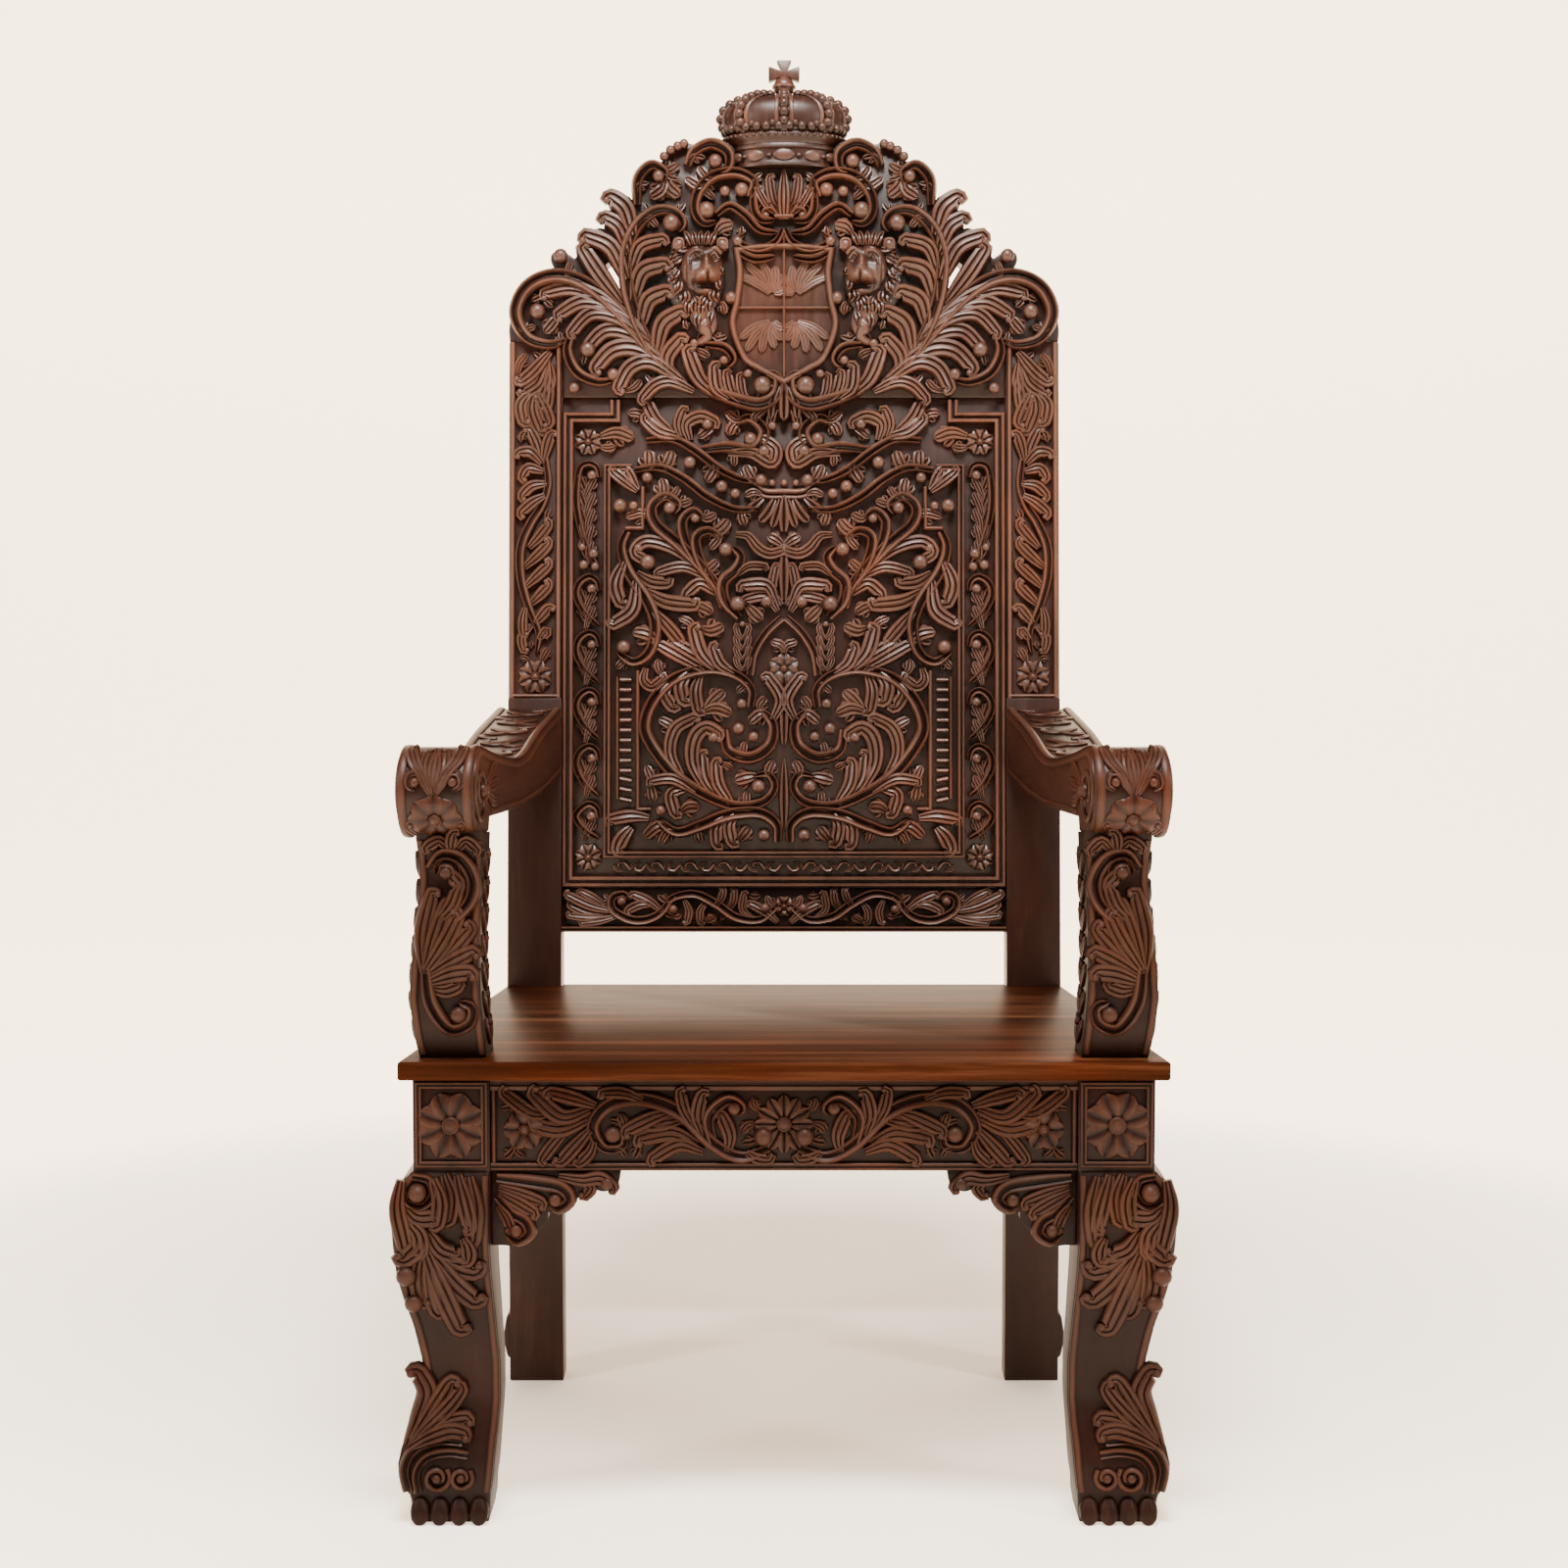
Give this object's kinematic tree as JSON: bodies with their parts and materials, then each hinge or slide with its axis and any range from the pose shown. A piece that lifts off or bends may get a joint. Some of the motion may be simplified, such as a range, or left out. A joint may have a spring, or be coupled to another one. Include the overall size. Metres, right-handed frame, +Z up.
{
  "type": "throne",
  "caption": "Carved hardwood throne with a raked back under a crown, scroll arms, a plank seat and cabriole front legs with paw feet.",
  "frame": {"origin": "on the floor, under the middle of the throne's bounding box", "axes": "+Z up, the throne faces -Y, +X to the right for a viewer in front of it"},
  "size_m": [0.836, 0.746, 1.6526],
  "materials": {
    "carved_wood": "satin",
    "plain_wood": "satin",
    "seat_wood": "gloss"
  },
  "bodies": {
    "root": {"post_left": "carved_wood", "post_right": "carved_wood", "front_leg_left": "carved_wood", "front_leg_right": "carved_wood", "bracket_left": "carved_wood", "bracket_right": "carved_wood", "armrest_left": "carved_wood", "armrest_right": "carved_wood", "arm_support_left": "carved_wood", "arm_support_right": "carved_wood", "crest": "carved_wood", "crown": "carved_wood", "back_panel": "carved_wood", "back_rail": "carved_wood", "seat": "seat_wood", "apron_front": "carved_wood", "apron_left": "plain_wood", "apron_right": "plain_wood", "apron_rear": "plain_wood"}
  },
  "joints": []
}
